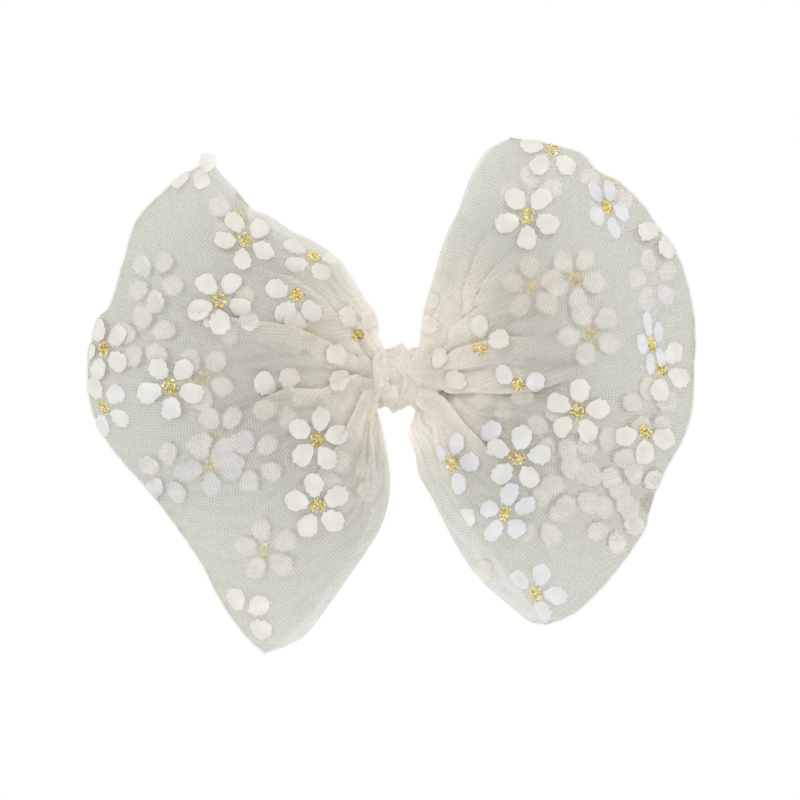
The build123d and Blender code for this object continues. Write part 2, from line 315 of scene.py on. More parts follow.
def glitter_material():
    """Gold flakes, each a little different in colour and shine."""
    mat, nodes, links = new_material("gold_glitter")
    metal = nodes.new("ShaderNodeBsdfPrincipled")
    metal.inputs["Metallic"].default_value = 0.85
    metal.inputs["Roughness"].default_value = 0.28
    links.new(tint_ramp(nodes, links, GOLD_TINTS), metal.inputs["Base Color"])
    links.new(metal.outputs[0], nodes.new("ShaderNodeOutputMaterial").inputs[0])
    return mat


def plain_material(name, colour, roughness, metallic=0.0, **more):
    """A principled material, with its nodes. Its other sockets are given by name, with _ for a space."""
    mat, nodes, links = new_material(name)
    shader = nodes.new("ShaderNodeBsdfPrincipled")
    shader.inputs["Base Color"].default_value = (*colour, 1)
    shader.inputs["Roughness"].default_value = roughness
    shader.inputs["Metallic"].default_value = metallic
    for key, value in more.items():
        shader.inputs[key.replace("_", " ")].default_value = value
    links.new(shader.outputs[0], nodes.new("ShaderNodeOutputMaterial").inputs[0])
    return mat, nodes, links, shader


def steel_material():
    """Nickel-plated steel, rolled along X."""
    mat, nodes, links, shader = plain_material("nickel_steel", (0.66, 0.65, 0.62), 0.28, 1.0)
    grain = object_noise(nodes, links, 900, (0.04, 1, 1), 3)
    links.new(map_range(nodes, links, grain, (0.3, 0.7), (0.2, 0.38)), shader.inputs["Roughness"])
    fibre_bump(nodes, links, shader, grain, 0.15, 0.00005)
    return mat


def ribbon_material():
    """White grosgrain, with ribs across the ribbon, and painted shade in the grooves between them."""
    mat, nodes, links, shader = plain_material("grosgrain", (0.80, 0.78, 0.73), 0.6, Sheen_Weight=0.3)
    place = nodes.new("ShaderNodeTexCoord")
    ribs = nodes.new("ShaderNodeTexWave")
    ribs.bands_direction = "X"
    ribs.inputs["Scale"].default_value = 2 * math.pi / (20 * RIB_PITCH * MM)
    ribs.inputs["Distortion"].default_value = 0.3
    links.new(place.outputs["Object"], ribs.inputs["Vector"])
    # The grooves are coloured darker than the crests of the ribs: painted shade.
    links.new(mix_colour(nodes, links, ribs.outputs["Fac"], (0.62, 0.60, 0.55), (0.82, 0.80, 0.75)),
              shader.inputs["Base Color"])
    fibre_bump(nodes, links, shader, ribs.outputs["Fac"], 0.6, 0.00012)
    return mat


def thread_material():
    """Off-white sewing thread with a fuzzy ply."""
    mat, nodes, links, shader = plain_material("thread", (0.78, 0.75, 0.68), 0.75, Sheen_Weight=0.4)
    fibre_bump(nodes, links, shader, object_noise(nodes, links, 3500), 0.5, 0.0001)
    return mat


def glue_material():
    """Set hot glue: milky, smooth and slightly see-through."""
    mat, nodes, links, shader = plain_material("hot_glue", (0.80, 0.77, 0.66), 0.22, Subsurface_Weight=0.35,
                                               Subsurface_Scale=0.002)
    fibre_bump(nodes, links, shader, object_noise(nodes, links, 350), 0.3, 0.0002)
    return mat


NET_OUTER = net_material("net_outer", (0.86, 0.845, 0.785), (0.81, 0.80, 0.745), 0.385, 0.295, turn=-7)
# The inner ply is the same tulle as the outer one, coloured much darker: painted shade inside the loops.
NET_INNER_PAINTED_SHADE = net_material("net_inner_painted_shade", (0.54, 0.54, 0.475), (0.50, 0.50, 0.435), 0.51, 0.36, turn=9)
NET_KNOT = net_material("net_knot", (0.86, 0.80, 0.71), (0.75, 0.69, 0.61), 0.5, 0.36, glow_share=0.25,
                        cream=(0.93, 0.87, 0.78))
# The daisies under the net use a copy of the flock that is a little darker: painted shade of the net over
# them.
FLOCK, VEILED_FLOCK_PAINTED_SHADE = flock_material("flock", (0.95, 1.04)), flock_material("veiled_flock_painted_shade", (0.94, 1.02))
GLITTER = glitter_material()
STEEL, RIBBON, THREAD, GLUE = steel_material(), ribbon_material(), thread_material(), glue_material()


# ---------------------------------------------------------------- the loops

# Each loop's edges in x and z: "fold" is its outer silhouette from top to bottom, and the others
# run out from the knot along the open edges of the front sheet and of the back sheet. "puff" is how far
# the gathers swell over the knot's side, at its bottom and at its top.
LEFT = {
    "side": -1,
    "puff": (4.6, 6.4),
    "fold": [(-49.4, 57.6), (-52.6, 55.6), (-56, 53.6), (-60.3, 50.3), (-68.6, 41.7), (-72.3, 30.7),
             (-75.7, 19.4), (-78.9, 15.4), (-81.5, 4.7), (-81.2, -5), (-78.3, -13.6), (-72.5, -22),
             (-64.5, -30.9), (-57, -41), (-51.4, -49.5), (-46.5, -59), (-40.5, -67.5), (-35.1, -72.6)],
    "top": [(-6.6, 5.2), (-5.2, 9), (-5.4, 15.2), (-8.6, 21), (-14.2, 29.6), (-20, 34.6), (-28.3, 38.6),
            (-33.3, 42), (-39.2, 44.5), (-45, 50.2), (-47.6, 53.6), (-49.4, 57.6)],
    "back_top": [(-6.6, 5.2), (-6.5, 10), (-8, 17), (-13, 26), (-20, 32), (-29, 37), (-37, 43), (-43, 50),
                 (-46.6, 53.8), (-49.4, 57.6)],
    "bottom": [(-6.6, -5.2), (-6.8, -10), (-6.6, -17), (-5.6, -26), (-6.6, -36), (-11, -45.5), (-17, -54),
               (-24, -62.5), (-30, -69), (-35.1, -72.6)],
    "back_bottom": [(-6.6, -5.2), (-4.6, -12), (-2.8, -20), (-2.2, -30), (-4.8, -40), (-12.4, -51.6),
                    (-18, -59.5), (-24, -67.5), (-29.5, -70.8), (-35.1, -72.6)],
}
RIGHT = {
    "side": 1,
    "puff": (6.4, 5.4),
    "fold": [(29.5, 63.1), (36.5, 62.2), (43.5, 60.6), (48.5, 58.8), (52.5, 54.4), (58, 51.6), (63.5, 46.5),
             (68.2, 39.9), (73.9, 31.2), (77.3, 19.9), (78.2, 10.7), (77.8, 2.1), (77.4, -8), (74.8, -16.4),
             (70.4, -24.2), (66.4, -33.5), (64.6, -40.4), (57, -51.2), (49.3, -59.5), (44.6, -62.9),
             (38.5, -65)],
    "top": [(6.6, 5.2), (5.8, 10), (6.8, 18.1), (9.6, 27.8), (12, 35.9), (15.4, 43.2), (18.8, 52.2),
            (23, 59.2), (29.5, 63.1)],
    "back_top": [(6.6, 5.2), (6.6, 11), (8, 20), (10.8, 29), (13.4, 37), (17, 46), (20.5, 54), (24.5, 60),
                 (29.5, 63.1)],
    "bottom": [(6.6, -5.2), (8.4, -9), (9.6, -16.2), (11.4, -24), (15.6, -34), (21, -42), (27.5, -50),
               (33, -57), (38.5, -65)],
    "back_bottom": [(6.6, -5.2), (4.4, -9.4), (2.8, -15), (4.6, -20.4), (5.4, -25.4), (9.1, -32), (13, -39.8),
                    (18.3, -49), (23, -54.6), (29.3, -60), (34.4, -64.1), (38.5, -65)],
}
EDGES = {"front": ("bottom", "top"), "back": ("back_bottom", "back_top")}
ACROSS, ALONG = 241, 161  # points from edge to edge, and from the knot round the fold and back
CURVE_POINTS = 600
CROWDING = 0.85  # how much closer together the points are beside the knot
# More cloth in and round a fold also turns it towards the cream of gathered net, which is partly painted
# light.
FOLD_CROWD, BAND_CROWD = 0.6, 0.25  # how much more cloth lies in a fold, and in the band around it
FOLD_HEIGHT = 0.55  # how far a fold stands up, as a share of how far it is laid over

# Folds that run out from the knot: where each lies as (share of the way out, share of the way up),
# its half width and depth in mm, the share of the way out where it ends, and which half of the loop has it
Fold = namedtuple("Fold", "path half_width depth end half")
FOLD_START, FOLD_FINISH = 0.06, 0.2  # how far, as shares of the way out, it takes to rise and to die away
LEFT["folds"] = [
    Fold([(0.1, 0.74), (0.21, 0.78), (0.35, 0.825), (0.42, 0.835), (0.56, 0.865)], 3.4, 3.2, 0.62, "front"),
    Fold([(0.1, 0.66), (0.41, 0.705), (0.61, 0.715), (0.8, 0.72)], 3.8, 2.0, 0.88, "front"),
    Fold([(0.05, 0.52), (0.3, 0.465), (0.42, 0.495), (0.55, 0.495)], 3.6, 3.0, 0.6, "front"),
    Fold([(0.05, 0.38), (0.2, 0.30), (0.4, 0.25), (0.6, 0.22)], 3.6, 2.4, 0.6, "front"),
    Fold([(0.1, 0.3), (0.4, 0.36), (0.7, 0.42)], 3.8, 3.0, 0.75, "back"),
    Fold([(0.1, 0.7), (0.4, 0.64), (0.7, 0.6)], 3.8, 3.0, 0.7, "back"),
    Fold([(0.1, 0.5), (0.8, 0.5)], 3.8, 3.0, 0.8, "back"),
]
RIGHT["folds"] = [
    Fold([(0.07, 0.75), (0.18, 0.74), (0.34, 0.845), (0.49, 0.895), (0.62, 0.92)], 2.8, 2.2, 0.62, "front"),
    Fold([(0.15, 0.705), (0.28, 0.765), (0.39, 0.805), (0.52, 0.825), (0.61, 0.835)], 2.6, 2.0, 0.6, "front"),
    Fold([(0.07, 0.385), (0.24, 0.435), (0.36, 0.44), (0.49, 0.455), (0.62, 0.465)],
         3.4, -3.2, 0.66, "front"),
    Fold([(0.12, 0.645), (0.28, 0.62), (0.41, 0.6), (0.55, 0.58)], 3.4, 2.8, 0.56, "front"),
    Fold([(0.05, 0.3), (0.25, 0.22), (0.5, 0.2)], 3.6, 2.6, 0.5, "front"),
    Fold([(0.1, 0.28), (0.4, 0.34), (0.7, 0.4)], 3.8, 3.0, 0.75, "back"),
    Fold([(0.1, 0.72), (0.4, 0.68), (0.7, 0.64)], 3.8, 3.0, 0.7, "back"),
    Fold([(0.1, 0.5), (0.8, 0.52)], 3.8, 3.0, 0.8, "back"),
]


def gathers(loop, s, v):
    """How far forward the cloth stands, in mm, in the pleats that run out from the knot and die away."""
    phase = loop["side"] * 1.3
    fan = (np.sin(2 * np.pi * (11 * v + 0.35 * np.sin(9 * v + phase)) + 1.4 * s + phase)
           + 0.55 * np.sin(2 * np.pi * (17 * v + 0.3 * np.sin(13 * v)) - 2.0 * s)
           + 0.3 * np.sin(2 * np.pi * 6 * v + 3 * s))
    height = 0.35 + 0.4 * np.exp(-((s / 0.35) ** 2))
    return fan * smooth(0.02, 0.22, s) * height * (1 - smooth(0.35, 0.85, s))


def puff(loop, s, v):
    """How much of the puff that swells out over the wrap's edge is at each point, from 0 to 1."""
    lumps = 0.8 + 0.25 * np.sin(9 * v + 2 * loop["side"]) + 0.15 * np.sin(23 * v + 1)
    return np.exp(-(((s - 0.04) / 0.032) ** 2)) * np.sin(np.pi * v) ** 0.4 * lumps


def waves(loop, s, v):
    """The slow swell and dip of the cloth between the folds, in mm."""
    phase = 2 * loop["side"]
    slow = (0.9 * np.sin(11 * v + 4 * s + phase) + 0.5 * np.sin(23 * v - 5 * s - phase)
            + 0.35 * np.sin(9 * s + 14 * v))
    crinkle = np.sin(190 * v + 3 * np.sin(17 * s + 9 * v)) + np.sin(140 * v - 60 * s + 2 * np.sin(21 * v))
    return smooth(0.15, 0.5, s) * slow + 0.26 * smooth(0.1, 0.4, s) * crinkle


def folded(loop, place, s, v, half):
    """The places with each fold laid over itself, how far the folds stand forward, and how they crowd it."""
    side = np.gradient(place, axis=0)
    reach = np.linalg.norm(side, axis=2, keepdims=True)
    side = side / np.maximum(reach, 1e-6)
    width = np.maximum(reach[..., 0] * (ACROSS - 1), 1e-3)
    lift, crowd = np.zeros(place.shape[:2]), np.zeros(place.shape[:2])
    moved = place.copy()
    for fold in loop["folds"]:
        if fold.half != half:
            continue
        middle = np.interp(s, [p[0] for p in fold.path], [p[1] for p in fold.path])
        t = (v - middle) * width / fold.half_width
        start = fold.path[0][0]
        rise = smooth(start - FOLD_START, start + FOLD_START, s)
        fade = rise * (1 - smooth(fold.end - FOLD_FINISH, fold.end, s))
        wave = np.sin(np.pi * np.clip(t, -1.5, 1.5)) * np.exp(-(np.abs(t) / 1.05) ** 4) * fade
        moved = moved - side * (wave * abs(fold.depth))[..., None]
        lift = lift - wave * fold.depth * FOLD_HEIGHT
        crowd = crowd + fade * (FOLD_CROWD * np.exp(-(t / 1.0) ** 2) + BAND_CROWD * np.exp(-(t / 3.6) ** 2))
    return moved, lift, crowd


def along_curve(curve, share):
    """The points at the given shares of a curve's length."""
    index = np.clip(share, 0, 1) * (CURVE_POINTS - 1)
    return np.stack([np.interp(index, np.arange(CURVE_POINTS), curve[:, k]) for k in (0, 1)], axis=-1)


def spread(loop, half, v, at):
    """Where the smooth cloth lies in x and z: a patch blended from its edges, the knot and the fold."""
    low, high = [through(loop[edge], CURVE_POINTS) for edge in EDGES[half]]
    fold = through(loop["fold"], CURVE_POINTS)[::-1]
    knot = np.stack([np.full(ACROSS, loop["side"] * KNOT_X), (2 * v[:, 0] - 1) * KNOT_HALF], axis=1)
    up, out = v[..., None], at[None, :, None]
    between_edges = along_curve(low, at)[None] * (1 - up) + along_curve(high, at)[None] * up
    return (between_edges + knot[:, None] * (1 - out) + along_curve(fold, v[:, 0])[:, None] * out
            - (low[0] * (1 - v) + high[0] * v)[:, None] * (1 - out)
            - (fold[0] * (1 - v) + fold[-1] * v)[:, None] * out)


def loop_sheet(loop, shorter, gap):
    """The points in mm of one ply, over (across, along) from the knot in front round to the knot behind.

    Returns them with how many times over the cloth is gathered at each point.
    """
    v = np.linspace(0, 1, ACROSS)[:, None]
    even = np.linspace(0, 1, ALONG)
    theta = np.pi * (even - CROWDING * np.sin(2 * np.pi * even) / (2 * np.pi))
    points, tight = np.zeros((ACROSS, ALONG, 3)), np.zeros((ACROSS, ALONG))
    for half, towards, swell in (("front", 1, FRONT_SWELL), ("back", -1, BACK_SWELL)):
        take = theta <= np.pi / 2 if half == "front" else theta > np.pi / 2
        at, facing = np.sin(theta[take]), -np.cos(theta[take])
        place = spread(loop, half, v, at) * (1 - shorter * at)[None, :, None]
        step = np.linalg.norm(np.gradient(place, axis=0), axis=2)
        place, lift, crowd = folded(loop, place, at[None], v, half)
        tight[:, take] = STRIP_WIDTH / (ACROSS - 1) / np.maximum(step, 0.05) * (1 + crowd)
        edge = EDGE_SWELL + (1 - EDGE_SWELL) * np.sin(np.pi * v)
        depth = KNOT_SWELL + (swell * edge - KNOT_SWELL) * smooth(0, SWELL_REACH, at)[None]
        middle = WAIST_Y - FORWARD_LEAN * smooth(0, LEAN_REACH, at)[None]
        lift = lift + gathers(loop, at[None], v) + waves(loop, at[None], v)
        if half == "front":
            swollen = puff(loop, at[None], v)
            lift = lift + PUFF_LIFT * swollen
            inward = loop["puff"][0] * (1 - v) + loop["puff"][1] * v
            place[..., 0] = place[..., 0] - loop["side"] * inward * swollen
        y = middle + facing * (depth - gap) - lift * towards
        points[:, take, 0], points[:, take, 1], points[:, take, 2] = place[..., 0], y, place[..., 1]
    return points, np.clip(tight, 1, GATHER_MOST) ** GATHER_POWER


def sheet_object(name, points, gather, material):
    """The ply as a mesh with its cloth coordinates, and its cut length in mm."""
    step = np.linalg.norm(np.diff(points, axis=1), axis=2)
    run = np.concatenate([np.zeros((ACROSS, 1)), np.cumsum(step, axis=1)], axis=1)
    length = float(np.median(run[:, -1]))
    across = np.linspace(0, STRIP_WIDTH, ACROSS)[:, None] + np.zeros((1, ALONG))
    uvs = np.stack([run, across], axis=-1).reshape(-1, 2)
    obj = make_mesh(name, points.reshape(-1, 3), grid_faces(ACROSS, ALONG), uvs, {"gather": gather.ravel()})
    obj.data.materials.append(material)
    return obj, length


plies = {}
for label, loop in (("left", LEFT), ("right", RIGHT)):
    for ply, shorter, gap, material in (("outer", 0, 0, NET_OUTER),
                                        ("inner", PLY_SHORTER, PLY_GAP, NET_INNER_PAINTED_SHADE)):
        points, gather = loop_sheet(loop, shorter, gap)
        piece, length = sheet_object(f"{label}_{ply}_net", points, gather, material)
        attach(piece, BOW)
        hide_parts(f"{label}_loop_{ply}")
        plies[label, ply] = piece


# ---------------------------------------------------------------- the printed daisies

def half_tree(obj, front):
    """A search tree of a ply's front half or its back half, or of all of another piece if front is None."""
    half = ALONG // 2
    keep = [p.vertices[:] for p in obj.data.polygons
            if front is None or (p.vertices[0] % ALONG < half) == front]
    return BVHTree.FromPolygons([v.co for v in obj.data.vertices], keep)


def petal_outline(rng):
    """A spoon-shaped petal pointing along +x, in mm, with the small steps that the net gives its rim."""
    rim, step = [], 1.0
    for k in range(RIM_POINTS):
        angle = 2 * math.pi * k / RIM_POINTS
        x = 0.5 * PETAL_LENGTH * math.cos(angle)
        y = 0.5 * PETAL_WIDTH * math.sin(angle) * (1 + 0.14 * math.cos(angle))
        if k % 2 == 0:
            step = 1 + rng.uniform(*RIM_STEP)
        rim.append((x * step, y * step))
    return rim


def drop(tree, x, z, front):
    """The point and outward normal where the cloth lies at x, z, or None outside it."""
    start = Vector((x * MM, -RAY_START if front else RAY_START, z * MM))
    hit, normal, _, _ = tree.ray_cast(start, Vector((0, 1 if front else -1, 0)))
    if hit is None:
        return None
    if (normal.y > 0) == front:
        normal = -normal
    return hit, normal


def cut_back(tree, front, centre, outline):
    """The petal's rim, drawn in where it would pass the edge of the cloth."""
    rim = []
    for x, z in outline:
        dx, dz = x - centre[0], z - centre[1]
        reach = 1.0
        if drop(tree, x, z, front) is None:
            reach, miss = 0.0, 1.0
            for _ in range(EDGE_HALVINGS):
                middle = (reach + miss) / 2
                if drop(tree, centre[0] + dx * middle, centre[1] + dz * middle, front):
                    reach = middle
                else:
                    miss = middle
        rim.append((centre[0] + dx * reach, centre[1] + dz * reach))
    return rim


def squash_of(squash, along):
    """The rows of the map that flattens a daisy to squash times its size in the direction along."""
    c, s, less = math.cos(math.radians(along)), math.sin(math.radians(along)), 1 - squash
    return (1 - less * c * c, -less * c * s), (-less * c * s, 1 - less * s * s)


def squashed(centre, rows, dx, dz):
    """The point dx, dz from the centre of a daisy that is squashed."""
    return (centre[0] + dx * rows[0][0] + dz * rows[0][1],
            centre[1] + dx * rows[1][0] + dz * rows[1][1])


def petal_mesh(tree, front, centre, outline, store, tint, whole):
    """One flocked petal on a face of the cloth. It is stiffer than the net, so it bridges small creases.

    It stops at the edge of the cloth, unless it is to stay whole.
    """
    if drop(tree, *centre, front) is None:
        return
    rim = np.array(outline if whole else cut_back(tree, front, centre, outline))
    middle, count = np.array(centre), len(rim)
    flat = np.vstack([middle] + [middle + (rim - middle) * ring for ring in PETAL_RINGS])
    hits = [drop(tree, x, z, front) for x, z in flat]
    kept = np.array([hit is not None for hit in hits])
    depth = np.array([hit[0].y / MM if hit else 0.0 for hit in hits])
    basis = np.column_stack([np.ones(len(flat)), flat - middle])
    plane = np.linalg.lstsq(basis[kept], depth[kept], rcond=None)[0]
    laid = basis @ plane
    laid = laid + PETAL_DRAPE * np.clip(np.where(kept, depth - laid, 0), -1, 1)
    towards = -1 if front else 1
    proud = np.max(np.where(kept, towards * (depth - laid), 0))
    normal = np.array([-plane[1], 1, -plane[2]]) * towards
    normal = normal / np.linalg.norm(normal)
    base = np.column_stack([flat[:, 0], laid + towards * min(proud, PETAL_FLOAT), flat[:, 1]])
    verts, faces, tints = store
    first, size = len(verts), len(base)
    dome = np.concatenate([[1.0]] + [[level] * count for level in PETAL_DOME])[:, None]
    verts.extend(map(tuple, base + normal * (FLOCK_LIFT + FLOCK_THICK * dome)))
    verts.extend(map(tuple, base + normal * FLOCK_LIFT * 0.4))
    tints.extend([tint] * (2 * size))
    for level in (0, 1):
        start = first + level * size
        order = 1 if (level == 0) == front else -1
        for k in range(count):
            n = (k + 1) % count
            faces.append((start, start + 1 + k, start + 1 + n)[::order])
            for ring in range(len(PETAL_RINGS) - 1):
                a, b = start + 1 + ring * count, start + 1 + (ring + 1) * count
                faces.append((a + k, b + k, b + n, a + n)[::order])
    outer = first + 1 + (len(PETAL_RINGS) - 1) * count
    for k in range(count):
        n = (k + 1) % count
        faces.append((outer + k, outer + size + k, outer + size + n, outer + n)[::1 if front else -1])


def glitter_mesh(tree, front, centre, rows, store, rng, share):
    """A dot of glitter, or a share of one: six-sided flakes scattered and tilted over the daisy's centre."""
    verts, faces, tints = store
    for _ in range(round(FLAKES * share)):
        radius, angle = CENTRE_RADIUS * math.sqrt(rng.random()), rng.uniform(0, 2 * math.pi)
        x, z = squashed(centre, rows, radius * math.cos(angle), radius * math.sin(angle))
        hit = drop(tree, x, z, front)
        if hit is None:
            continue
        tilt = Vector([rng.gauss(0, 0.42) for _ in range(3)])
        normal = (hit[1] + tilt).normalized()
        side = normal.orthogonal().normalized()
        up = normal.cross(side)
        size, height = rng.uniform(0.14, 0.3), rng.uniform(0.14, 0.4)
        middle = hit[0] / MM + hit[1] * height
        first, tint = len(verts), min(1, max(0, rng.gauss(0.55, 0.3)))
        for level in (0.03, -0.03):
            for k in range(6):
                turn = math.pi * k / 3
                around = side * math.cos(turn) + up * math.sin(turn)
                verts.append((middle + around * size + normal * level)[:])
                tints.append(tint)
        faces.append(tuple(range(first, first + 6)))
        faces.append(tuple(range(first + 11, first + 5, -1)))
        for k in range(6):
            n = (k + 1) % 6
            faces.append((first + k, first + 6 + k, first + 6 + n, first + n))


def daisies(name, ply, half, front, flowers, seed, flock=FLOCK):
    """All the daisies on one face of the front or back half of a ply, or of all of another piece."""
    rng = random.Random(seed)
    tree = half_tree(ply, half)
    petals, dots = ([], [], []), ([], [], [])
    for flower in flowers:
        centre, rows = (flower.x, flower.z), squash_of(flower.squash, flower.along)
        tint = min(1, max(0, flower.tint + rng.gauss(0, 0.07)))
        for k in range(5):
            spin = math.radians(flower.turn - 72 * k) + rng.uniform(-0.06, 0.06)
            size = rng.uniform(0.94, 1.06)
            outline = petal_outline(rng)
            if str(k) not in flower.petals:
                continue
            c, s = math.cos(spin), math.sin(spin)
            flat = [(px * size + PETAL_REACH, py * size) for px, py in [(0, 0)] + outline]
            middle, *rim = [squashed(centre, rows, fx * c - fz * s, fx * s + fz * c) for fx, fz in flat]
            petal_mesh(tree, front, middle, rim, petals, tint, "+" in flower.petals)
        if flower.dot:
            glitter_mesh(tree, front, centre, rows, dots, rng, flower.dot)
    for kind, store, material in (("daisies", petals, flock), ("glitter", dots, GLITTER)):
        if not store[0]:
            continue
        piece = make_mesh(f"{name}_{kind}", store[0], store[1], values={"tint": store[2]})
        piece.data.materials.append(material)
        if kind == "glitter":
            piece.data.polygons.foreach_set("use_smooth", [False] * len(piece.data.polygons))
        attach(piece, BOW)


ALL = "01234"

# A printed daisy: its centre, which way its first petal points in degrees, how it is squashed and in which
# direction, which petals show (with + if they may stand out past the cloth's edge), how much of its dot of
# glitter does, and its tint from 0, pinkish, through 0.5, off-white, to 1, lavender
Daisy = namedtuple("Daisy", "x z turn squash along petals dot tint", defaults=(1, 0, ALL, 1, 0.5))
LEFT_FRONT = [
    Daisy(-39.6, 35.5, 114, squash=0.88, along=50),
    Daisy(-22.2, 31.5, 144, squash=0.72, along=80, tint=0.4),
    Daisy(-26.2, 21.4, 167, petals="034", tint=0.3),
    Daisy(-10.6, 11.4, 122, squash=0.9, petals="01", tint=0.2), Daisy(-46.0, 19.7, 130, tint=0.35),
    Daisy(-76.4, 7.4, 110, squash=0.86), Daisy(-76.2, -7.5, 116, squash=0.8, along=30),
    Daisy(-58.5, -2.5, 125, squash=1.05, tint=0.45), Daisy(-21.0, -16.0, 82, squash=0.95, tint=0.4),
    Daisy(-20.8, -33.2, 98), Daisy(-40.3, -62.6, 112, petals="012", dot=0),
    Daisy(-50.0, 50.9, 90, squash=0.95, along=90, petals="0+", dot=0),
    Daisy(-53.7, 56.4, 14, squash=0.95, petals="12", dot=0),
    Daisy(-34.8, -7.0, 90, petals="0", dot=0, tint=0.4),
    Daisy(-11.6, 3.2, 150, squash=0.95, petals="04", dot=0, tint=0.2),
]
LEFT_MIDDLE = [
    Daisy(-34.1, -44.6, 101, dot=0.35, tint=0.8), Daisy(-50.5, -0.1, 51, dot=0.7, tint=0.4),
    Daisy(-48.3, -22.3, -18, tint=0.8), Daisy(-63.0, 25.0, 60, squash=0.9, dot=0, tint=0.6),
    Daisy(-65.5, 10.1, 20, dot=0), Daisy(-41.4, 41.5, 80),
    Daisy(-12.5, -27.0, 40, squash=0.9, dot=0, tint=0.4),
    Daisy(-22.2, 11.8, 70, squash=0.95, along=90, tint=0.2),
    Daisy(-60.0, -25.0, 10, squash=0.9, dot=0, tint=0.8), Daisy(-37.5, -21.5, 45, dot=0, tint=0.75),
    Daisy(-45.7, -15.0, 54, squash=0.95, dot=0.5, tint=0.6), Daisy(-30.0, -5.4, 72, dot=0, tint=0.1),
    Daisy(-43.0, 16.6, 50, squash=0.9, dot=0, tint=0.4),
]
RIGHT_FRONT = [
    Daisy(40.0, 59.3, 163), Daisy(33.4, 41.5, -92, tint=0.55),
    Daisy(54.2, 43.9, 140, squash=0.62, along=20, tint=1), Daisy(70.2, 39.6, 197, dot=0),
    Daisy(21.5, 7.9, 95, squash=0.95, petals="01", tint=0.3),
    Daisy(31.3, -1.9, 149, squash=0.78, petals="02", tint=0.9),
    Daisy(46.3, -8.8, 82, squash=0.96, tint=0.45), Daisy(65.6, 8.6, 110, squash=0.45, along=8, tint=1),
    Daisy(68.1, 2.2, 49, petals="012"), Daisy(63.9, -14.0, -94, squash=0.97, petals="014"),
    Daisy(31.0, -20.9, 84, squash=1.04, tint=0.6), Daisy(14.2, -22.6, 78, squash=0.82, tint=0.95),
    Daisy(28.1, -35.3, 90, squash=0.8, along=140, tint=0.95),
    Daisy(17.4, -42.3, 84, petals="0", dot=0, tint=0.8),
    Daisy(35.7, -55.8, 70, squash=0.9, along=40, tint=0.95),
    Daisy(3.2, 17.2, 33, petals="01", dot=0, tint=0.3),
    Daisy(27.3, -9.4, -122, petals="0", dot=0, tint=0.95),
    Daisy(9.2, 0.2, 70, squash=0.8, petals="0", dot=0, tint=0.2),
    Daisy(19.9, -3.2, 150, petals="0", dot=0, tint=0.1),
]
RIGHT_MIDDLE = [
    Daisy(34.8, 23.3, 96, tint=0.05), Daisy(49.6, 11.3, 41), Daisy(55.0, 50.5, 165, tint=0.4),
    Daisy(65.3, -8.2, 20, squash=0.9, dot=0), Daisy(62.4, -29.8, 34, squash=0.95, dot=0),
    Daisy(36.5, -36.0, 12, dot=0, tint=0.6), Daisy(45.8, 25.6, 60, squash=0.9),
    Daisy(53.0, -21.0, 75, dot=0), Daisy(45.5, -28.5, 30, dot=0),
    Daisy(56.5, -37.5, 60, squash=0.95, dot=0), Daisy(40.8, -14.0, 20, squash=0.9, dot=0, tint=0.4),
    Daisy(34.6, 46.5, 94, petals="0124", dot=0), Daisy(66.0, 25.0, 30, squash=0.8, dot=0, tint=0.6),
    Daisy(27.0, -4.0, 60, squash=0.9, along=90, dot=0, tint=0.05),
]
LEFT_INSIDE = [Daisy(-24.6, -66.7, 90, petals="0", dot=0)]
RIGHT_INSIDE = [Daisy(22.6, -56.2, 90, petals="0", dot=0)]

# Only daisies rounder than this and nearer the middle than this are repeated behind
BEHIND_SQUASH, BEHIND_REACH = 0.84, 45


def behind(flowers):
    """The whole daisies of the sheets in front, which the print repeats on the sheet behind."""
    return [flower for flower in flowers
            if flower.petals == ALL and flower.squash > BEHIND_SQUASH and abs(flower.z) < BEHIND_REACH]


# Which ply, whether its front half, whether its front face, the flock and the daisies of each side
prints = {
    "front": ("outer", True, True, FLOCK, LEFT_FRONT, RIGHT_FRONT),
    "middle": ("inner", True, True, VEILED_FLOCK_PAINTED_SHADE, LEFT_MIDDLE, RIGHT_MIDDLE),
    "inside": ("inner", False, True, VEILED_FLOCK_PAINTED_SHADE, LEFT_INSIDE, RIGHT_INSIDE),
    "back": ("outer", False, False, FLOCK, behind(LEFT_FRONT + LEFT_MIDDLE),
             behind(RIGHT_FRONT + RIGHT_MIDDLE)),
}
for seed, (where, (ply, half, faces_front, flock, left, right)) in enumerate(prints.items(), 11):
    for label, flowers in (("left", left), ("right", right)):
        daisies(f"{label}_{where}", plies[label, ply], half, faces_front, flowers, seed, flock)


# ---------------------------------------------------------------- the knot

def ring_faces(rings, count, wrap_rings=False):
    """Quads between closed rings of count points each, with the last ring joined to the first if asked."""
    last = rings if wrap_rings else rings - 1
    return [(r * count + c, r * count + (c + 1) % count, (r + 1) % rings * count + (c + 1) % count,
             (r + 1) % rings * count + c) for r in range(last) for c in range(count)]


def waist():
    """The middle of the strip, bunched into deep pleats round the X axis."""
    count, rings = WAIST_PLEATS * 10, 15
    turn = np.arange(count) * 2 * np.pi / count
    fold = np.abs((turn * WAIST_PLEATS / np.pi) % 2 - 1)
    verts, uvs = [], []
    for x in np.linspace(-WAIST_HALF, WAIST_HALF, rings):
        tied = 1 - 0.14 * math.exp(-(x / 3.4) ** 4)  # drawn in where the thread goes round
        radius = (WAIST_INNER + (WAIST_OUTER - WAIST_INNER) * smooth(0, 1, fold)) * tied
        lean = turn + 0.03 * np.sin(3 * turn + x)
        verts.append(np.stack([np.full(count, x), WAIST_Y + radius * np.cos(lean),
                               radius * np.sin(lean)], axis=1))
        uvs.append(np.stack([np.full(count, x), turn / (2 * np.pi) * STRIP_WIDTH], axis=1))
    verts = np.vstack(verts)
    obj = make_mesh("pleated_waist", verts, ring_faces(rings, count), np.vstack(uvs),
                    {"gather": [KNOT_GATHER["waist"]] * len(verts)})
    obj.data.materials.append(NET_KNOT)
    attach(obj, BOW)
    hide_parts("gathered_waist")


